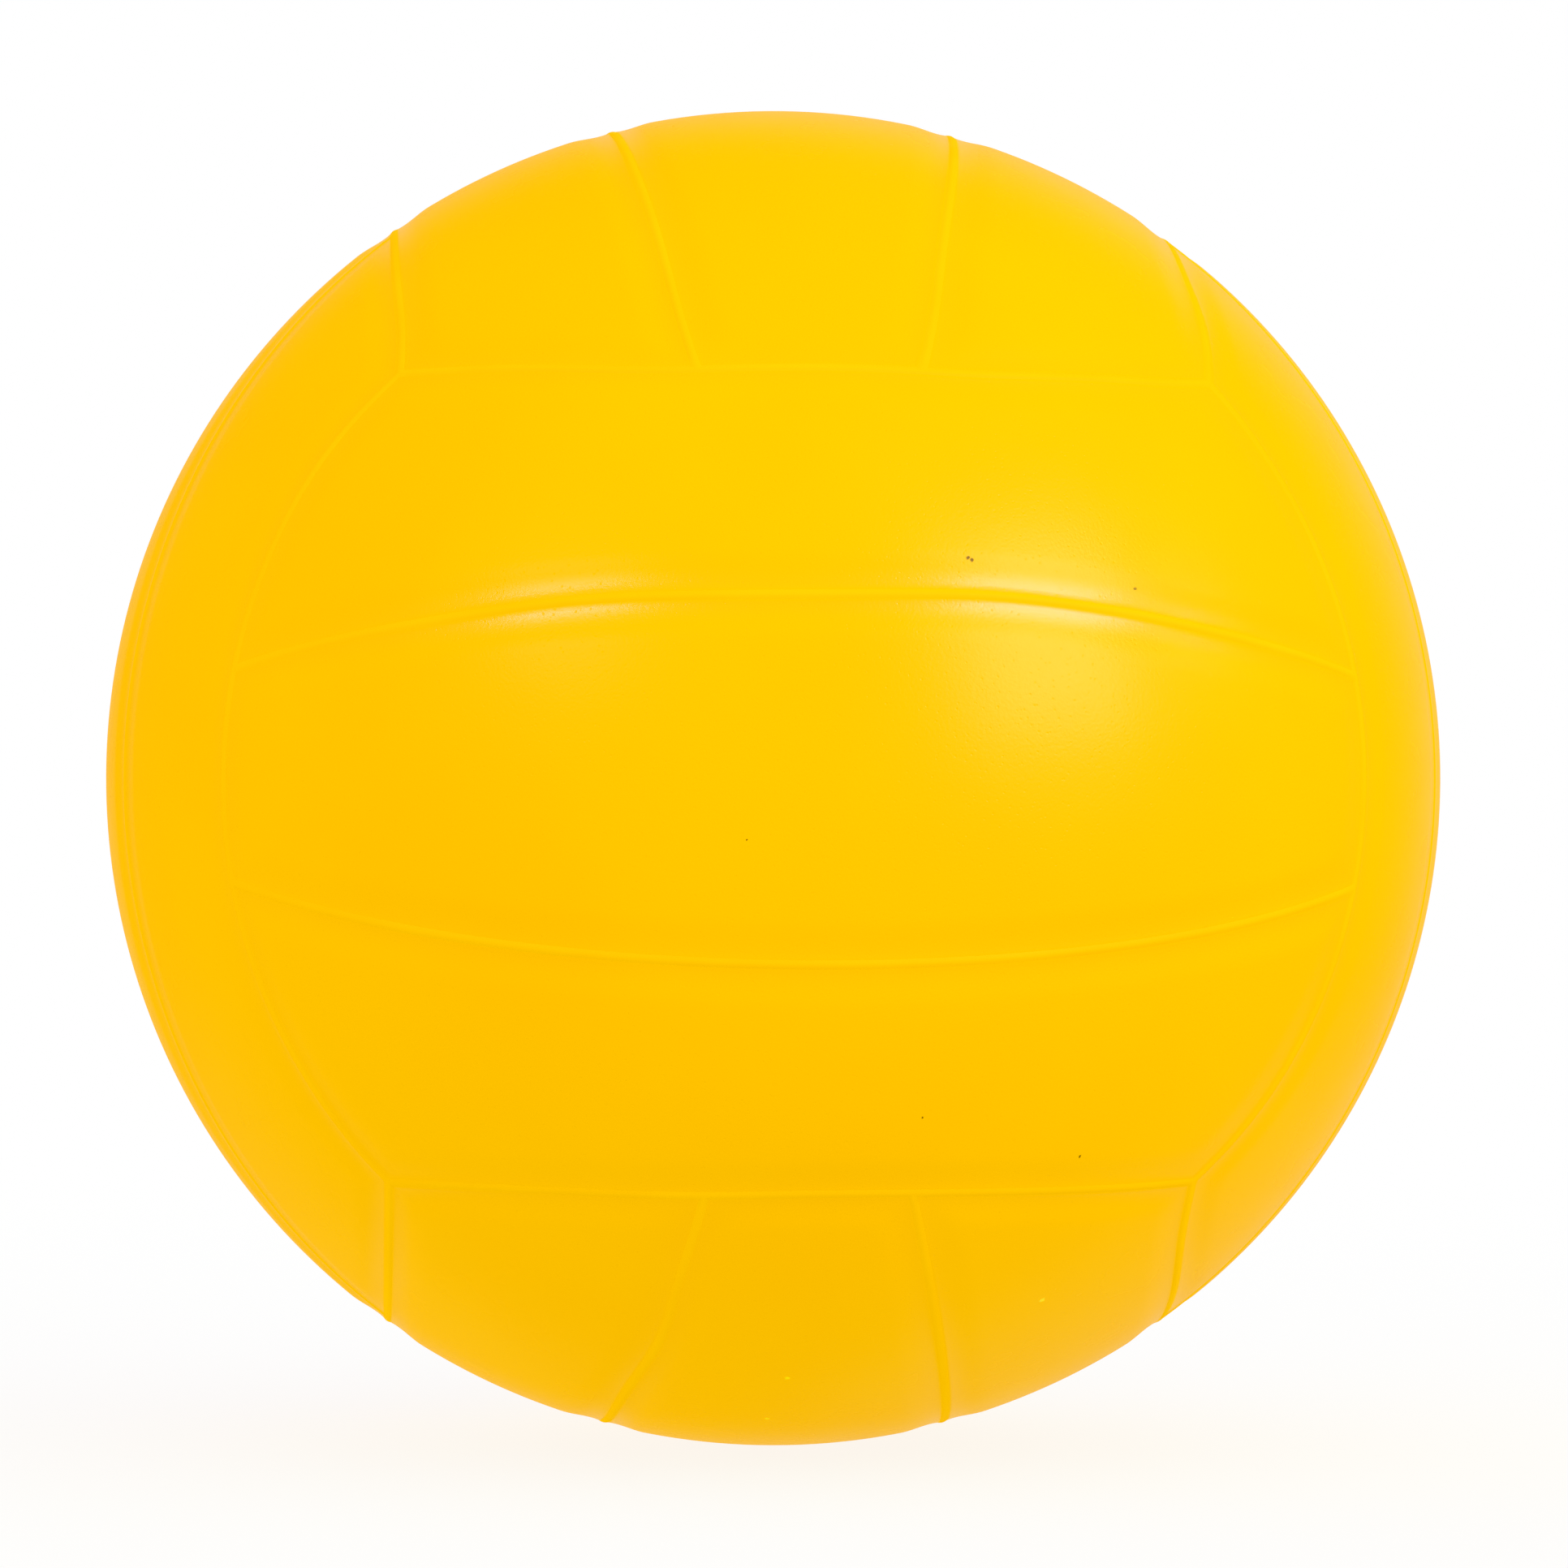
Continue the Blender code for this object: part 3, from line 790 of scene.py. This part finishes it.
def cover_material():
    """Satin yellow synthetic leather: fine pitted grain, glossier along the seams, with a few specks."""
    material = bpy.data.materials.new("yellow_cover")
    tree = new_tree(material)
    coords = add_node(tree, "ShaderNodeTexCoord").outputs["Object"]
    seam = add_node(tree, "ShaderNodeAttribute", attribute_name="seam_distance").outputs["Fac"]

    tone = noise(tree, coords, COVER_TONE_SIZE, 3)
    colour = mix_colours(tree, ramp(tree, tone, *TONE_CHANGE), COVER_YELLOW, COVER_DEEP_YELLOW)
    colour = add_dirt(tree, coords, colour)
    colour = add_marks(tree, coords, colour)

    field_rough = ramp(
        tree, noise(tree, coords, FIELD_ROUGHNESS_SIZE, 3), *ROUGHNESS_CHANGE, *FIELD_ROUGHNESS)
    seam_share = ramp(tree, seam, SEAM_GLOSS_START, SEAM_GLOSS_END, 1, 0)
    rough = mix_values(tree, seam_share, field_rough, SEAM_ROUGHNESS)

    grain = noise(tree, coords, GRAIN_SIZE, 2, GRAIN_HARSHNESS)
    pit = ramp(tree, spots(tree, coords, PIT_SPACING).outputs["Distance"], *PIT_EDGE)
    grain_height = maths(tree, "MULTIPLY", grain, GRAIN_DEPTH)
    height = maths(tree, "ADD", grain_height, maths(tree, "MULTIPLY", pit, PIT_DEPTH))

    across = add_node(tree, "ShaderNodeSeparateXYZ", {0: coords}).outputs[0]
    field_gloss = ramp(tree, across, -FIELD_GLOSS_CHANGE, FIELD_GLOSS_CHANGE, *FIELD_GLOSS)
    gloss = mix_values(tree, seam_share, field_gloss, SEAM_GLOSS)
    gloss = maths(tree, "MULTIPLY", gloss, ramp(tree, pit, 0, 1, PIT_GLOSS, 1))
    gloss = maths(tree, "MULTIPLY", gloss, ramp(tree, seam, *EDGE_MATTE, EDGE_GLOSS, 1))
    tint = mix_colours(tree, seam_share, FIELD_TINT, SEAM_TINT)
    shader = add_node(tree, "ShaderNodeBsdfPrincipled", {
        "Base Color": colour, "Roughness": rough, "Specular IOR Level": gloss, "Specular Tint": tint,
        "Normal": relief(tree, height)})
    finish_material(tree, shader)
    return material


def add_dirt(tree, coords, colour):
    """Colour with scattered specks of dirt on it."""
    dirt = spots(tree, coords, DIRT_SPACING)
    near = ramp(tree, dirt.outputs["Distance"], *DIRT_EDGE, 1, 0)
    chosen = add_node(tree, "ShaderNodeSeparateColor", {0: dirt.outputs["Color"]}).outputs[0]
    share = maths(tree, "MULTIPLY", near, ramp(tree, chosen, *DIRT_CHOSEN, 0, DIRT_SHARE))
    return mix_colours(tree, share, colour, SPECK_BROWN)


def add_marks(tree, coords, colour):
    """Colour with the ragged marks of the front on it."""
    spread = Vector((MARK_RAGGEDNESS, MARK_RAGGEDNESS, MARK_RAGGEDNESS))
    inputs = {"Vector": coords, "Scale": 1 / MARK_RAGGEDNESS}
    ragged = add_node(tree, "ShaderNodeTexNoise", inputs).outputs["Color"]
    torn = vectors(tree, "ADD", coords, vectors(tree, "MULTIPLY", ragged, spread))
    for pixel, radius, mark_colour in MARKS.values():
        away = measure(tree, "DISTANCE", torn, pixel_point(*pixel) + spread / 2)
        share = ramp(tree, away, radius * MARK_CORE, radius, MARK_SHARE, 0)
        colour = mix_colours(tree, share, colour, mark_colour)
    return colour


def rib_material():
    """Yellow carcass rubber, duller than the cover, its colour a little lighter and bluer than the cover's as
    a painted sheen.
    """
    material = bpy.data.materials.new("yellow_carcass_rubber")
    tree = new_tree(material)
    coords = add_node(tree, "ShaderNodeTexCoord").outputs["Object"]
    tone = noise(tree, coords, RIB_TONE_SIZE, 3)
    # Painted sheen: the ribs' lighter, bluer yellow stands in for the pale light they catch
    colour = mix_colours(tree, ramp(tree, tone, *TONE_CHANGE), RIB_SHEEN_YELLOW, RIB_DEEP_SHEEN_YELLOW)
    rough = ramp(tree, noise(tree, coords, RIB_ROUGHNESS_SIZE), *ROUGHNESS_CHANGE, *RIB_ROUGHNESS)
    grain = noise(tree, coords, RIB_GRAIN_SIZE)
    shader = add_node(tree, "ShaderNodeBsdfPrincipled", {
        "Base Color": colour, "Roughness": rough, "Specular IOR Level": RIB_GLOSS,
        "Normal": relief(tree, grain, RIB_GRAIN_DEPTH)})
    finish_material(tree, shader)
    return material


def rubber_material(name):
    """Moulded rubber with a dull bloom and a fine grain."""
    plain, bloomed, roughness = RUBBERS[name]
    material = bpy.data.materials.new(name)
    tree = new_tree(material)
    coords = add_node(tree, "ShaderNodeTexCoord").outputs["Object"]
    bloom = noise(tree, coords, BLOOM_SIZE, 4, RUBBER_HARSHNESS)
    colour = mix_colours(tree, ramp(tree, bloom, *BLOOM_CHANGE), plain, bloomed)
    rough = ramp(tree, noise(tree, coords, RUBBER_ROUGHNESS_SIZE, 3), *ROUGHNESS_CHANGE, *roughness)
    grain = noise(tree, coords, RUBBER_GRAIN_SIZE, 3, RUBBER_HARSHNESS)
    shader = add_node(tree, "ShaderNodeBsdfPrincipled", {
        "Base Color": colour, "Roughness": rough, "Specular IOR Level": RUBBER_GLOSS,
        "Normal": relief(tree, grain, RUBBER_GRAIN_DEPTH)})
    finish_material(tree, shader)
    return material


def thread_material():
    """Nylon thread wound round the bladder in crossing turns, with painted shade: grey in the gaps between
    the threads.
    """
    material = bpy.data.materials.new("nylon_winding")
    tree = new_tree(material)
    coords = add_node(tree, "ShaderNodeTexCoord").outputs["Object"]
    height = 0
    for turn in THREAD_TURNS:
        turned = add_node(tree, "ShaderNodeMapping", {"Vector": coords, "Rotation": turn}).outputs[0]
        inputs = {"Vector": turned, "Scale": THREAD_SCALE, "Distortion": THREAD_WANDER, "Detail": 1}
        wave = add_node(tree, "ShaderNodeTexWave", inputs, wave_type="BANDS", bands_direction="X")
        height = maths(tree, "MAXIMUM", height, wave.outputs["Fac"])
    # Painted shade: grey where the threads dip into the gaps between them, pale on their tops
    colour = mix_colours(tree, height, THREAD_GAP_SHADE, THREAD_PALE)
    shader = add_node(tree, "ShaderNodeBsdfPrincipled", {
        "Base Color": colour, "Roughness": THREAD_ROUGHNESS, "Normal": relief(tree, height, THREAD_DEPTH)})
    finish_material(tree, shader)
    return material


def dress_inner_layers():
    """Give the winding and the bladder, which stay as they are, their materials."""
    materials = {"thread_winding": thread_material(), "bladder": rubber_material("black_bladder_rubber")}
    for node, material in materials.items():
        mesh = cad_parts[node].data
        mesh.materials.clear()
        mesh.materials.append(material)


# Studio

CAMERA_DISTANCE = 10.58 * BALL_RADIUS
CAMERA_YAW = 0.0579
CAMERA_PITCH = 0.0020
CAMERA_ROLL = 0.0062
CAMERA_SENSOR = 36
IMAGE_SIZE = 1932
FOCAL_PIXELS = 8658
BALL_CENTRE_PIXEL = (952.7, 958.8)


def camera_place():
    """Where the camera stands and how it is turned: level with the ball, a little left of its front."""
    level = math.cos(CAMERA_PITCH)
    away = Vector((
        -math.sin(CAMERA_YAW) * level, -math.cos(CAMERA_YAW) * level, math.sin(CAMERA_PITCH)))
    turn = (-away).to_track_quat("-Z", "Y").to_matrix().to_4x4()
    return Matrix.Translation(away * CAMERA_DISTANCE) @ turn @ Matrix.Rotation(CAMERA_ROLL, 4, "Z")


def pixel_point(across, down):
    """Point of the ball that shows at a pixel of the photograph."""
    place = camera_place()
    start = place.translation
    across -= BALL_CENTRE_PIXEL[0]
    down -= BALL_CENTRE_PIXEL[1]
    ray = (place.to_3x3() @ Vector((across, -down, -FOCAL_PIXELS))).normalized()
    nearest = -start.dot(ray)
    half_chord = math.sqrt(max(0, BALL_RADIUS ** 2 - start.length_squared + nearest ** 2))
    return start + ray * (nearest - half_chord)


def make_camera():
    """Camera at the photographed angle."""
    lens = bpy.data.cameras.new("camera")
    lens.sensor_width = CAMERA_SENSOR
    lens.lens = FOCAL_PIXELS / IMAGE_SIZE * CAMERA_SENSOR
    lens.shift_x = (IMAGE_SIZE / 2 - BALL_CENTRE_PIXEL[0]) / IMAGE_SIZE
    lens.shift_y = (BALL_CENTRE_PIXEL[1] - IMAGE_SIZE / 2) / IMAGE_SIZE
    camera = bpy.data.objects.new("camera", lens)
    bpy.context.scene.collection.objects.link(camera)
    camera.matrix_world = camera_place()
    bpy.context.scene.camera = camera


BACKDROP_WHITE = (1.0, 1.0, 1.0, 1)

# Floor: how much of it is paper that takes the shadow, and between which distances that fades into the white
FLOOR_GREY = (0.85, 0.85, 0.85, 1)
FLOOR_REACH = 1.8
FLOOR_SEGMENTS = 128
FLOOR_SHADOW = 0.16
FLOOR_FADE = (0.15, 0.80)

# The room in the gloss. Its white parts: direction, cosine of the angle from it at their edge, share of white
MIRRORED_ROOM = (0.90, 0.48, 0.02, 1)
MIRRORED_WHITE = {
    "backdrop": ((0.18, 0.981, 0.07), 0.77, 0.33),
    "table_right": ((0.50, 0.58, -0.64), 0.86, 0.25),
    "table_left": ((-0.50, 0.62, -0.60), 0.88, 0.19),
}

# White light in two parts, so that the gloss takes no blue haze from the room. Red and green come from the
# room: its brightness along each axis, how much of it tilts along the axis, and the broad key light's
# bearing from the front and height in degrees, edge and brightness. Blue comes from a sheet overhead:
# height, half size and brightness.
ROOM_RED_GREEN = (1, 1, 0, 1)
ROOM_LEVEL = (1.040, 1.065, 0.560)
ROOM_TILT = (-0.149, 0.446, -0.353)
KEY_ANGLES = (30, 45)
KEY_EDGE = 0.3
KEY_BRIGHTNESS = 1.41
OVERHEAD_BLUE = (0, 0, 1)
OVERHEAD_SHEET = (2.0, 4.0, 1.34)

# Soft boxes that show in the gloss alone: bearing from the front, height and half angles across and up in
# degrees, and brightness
SOFT_BOX_DISTANCE = 1.2
SOFT_BOXES = {
    "right_soft_box": (43.4, 21.4, 12.6, 13.4, 19.6),
    "left_soft_box": (-39, 22.3, 8.8, 5.4, 17.4),
    "side_soft_box": (73, 22.0, 5.0, 5.0, 3.6),
}


def bearing_direction(bearing, rise):
    """Direction at a bearing from the front, to the right, and a height over the level, both in degrees."""
    level = math.cos(math.radians(rise))
    turn = math.radians(bearing)
    return Vector((math.sin(turn) * level, -math.cos(turn) * level, math.sin(math.radians(rise))))


def make_world():
    """Room light on the ball, a warm room with white parts in its gloss, and white for the camera."""
    world = bpy.data.worlds.new("studio")
    bpy.context.scene.world = world
    world.cycles.sampling_method = "NONE"
    tree = new_tree(world)
    ray = add_node(tree, "ShaderNodeLightPath")
    direction = add_node(tree, "ShaderNodeTexCoord").outputs["Generated"]
    white = 0
    for centre, edge, share in MIRRORED_WHITE.values():
        towards = measure(tree, "DOT_PRODUCT", direction, centre)
        white = maths(tree, "ADD", white, ramp(tree, towards, edge, 1, 0, share))
    colour = mix_colours(tree, white, MIRRORED_ROOM, BACKDROP_WHITE)
    colour = mix_colours(tree, ray.outputs["Is Diffuse Ray"], colour, ROOM_RED_GREEN)
    colour = mix_colours(tree, ray.outputs["Is Camera Ray"], colour, BACKDROP_WHITE)

    squares = vectors(tree, "MULTIPLY", direction, direction)
    even = measure(tree, "DOT_PRODUCT", squares, ROOM_LEVEL)
    tilt = measure(tree, "DOT_PRODUCT", direction, ROOM_TILT)
    towards_key = measure(tree, "DOT_PRODUCT", direction, bearing_direction(*KEY_ANGLES))
    key = ramp(tree, towards_key, KEY_EDGE, 1, 0, KEY_BRIGHTNESS)
    light = maths(tree, "ADD", maths(tree, "ADD", even, tilt), key)
    strength = mix_values(tree, ray.outputs["Is Diffuse Ray"], 1, light)
    background = add_node(tree, "ShaderNodeBackground", {"Color": colour, "Strength": strength})
    add_node(tree, "ShaderNodeOutputWorld", {"Surface": background.outputs[0]})


def make_floor():
    """Pale round floor that keeps the ball's shadow, fades into the white and lets light through."""
    bm = bmesh.new()
    bmesh.ops.create_circle(bm, cap_ends=True, segments=FLOOR_SEGMENTS, radius=FLOOR_REACH)
    mesh = bpy.data.meshes.new("floor")
    bm.to_mesh(mesh)
    bm.free()
    floor = bpy.data.objects.new("floor", mesh)
    floor.location.z = -BALL_RADIUS
    bpy.context.scene.collection.objects.link(floor)
    material = bpy.data.materials.new("pale_floor")
    tree = new_tree(material)
    coords = add_node(tree, "ShaderNodeTexCoord").outputs["Object"]
    share = ramp(tree, measure(tree, "LENGTH", coords), *FLOOR_FADE, FLOOR_SHADOW, 0)
    paper = add_node(tree, "ShaderNodeBsdfDiffuse", {"Color": FLOOR_GREY})
    white = add_node(tree, "ShaderNodeEmission", {"Color": BACKDROP_WHITE, "Strength": 1})
    both = add_node(tree, "ShaderNodeMixShader", {0: share, 1: white.outputs[0], 2: paper.outputs[0]})
    finish_material(tree, both)
    mesh.materials.append(material)
    floor.visible_diffuse = False
    floor.visible_glossy = False
    floor.visible_shadow = False


def make_lamp(name, direction, distance, width, height, radiance):
    """Rectangular lamp of an even brightness that faces the ball from a direction."""
    lamp = bpy.data.lights.new(name, "AREA")
    lamp.shape = "RECTANGLE"
    lamp.size = width
    lamp.size_y = height
    lamp.energy = radiance * math.pi * width * height
    lamp.cycles.use_multiple_importance_sampling = False
    fitting = bpy.data.objects.new(name, lamp)
    bpy.context.scene.collection.objects.link(fitting)
    fitting.visible_camera = False
    turn = direction.to_track_quat("Z", "Y").to_matrix().to_4x4()
    fitting.matrix_world = Matrix.Translation(direction * distance) @ turn
    return fitting


def make_studio():
    """White studio: light all round, a soft box on each side of the camera and a weak one at the right."""
    make_world()
    make_floor()
    rise, half_size, radiance = OVERHEAD_SHEET
    overhead = make_lamp("overhead_sheet", Z, rise, 2 * half_size, 2 * half_size, radiance)
    overhead.data.color = OVERHEAD_BLUE
    overhead.visible_glossy = False
    for name, (bearing, rise, across, up, radiance) in SOFT_BOXES.items():
        width = 2 * SOFT_BOX_DISTANCE * math.tan(math.radians(across))
        height = 2 * SOFT_BOX_DISTANCE * math.tan(math.radians(up))
        box = make_lamp(name, bearing_direction(bearing, rise), SOFT_BOX_DISTANCE, width, height, radiance)
        box.visible_diffuse = False


def main():
    """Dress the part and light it."""
    shifts = place_shifts()
    make_panels(cover_material(), shifts)
    make_carcass(rib_material(), shifts)
    make_valve(rubber_material("yellow_valve_rubber"), rubber_material("black_valve_rubber"))
    dress_inner_layers()
    make_studio()
    make_camera()
    bpy.context.scene.view_settings.view_transform = "Standard"


main()
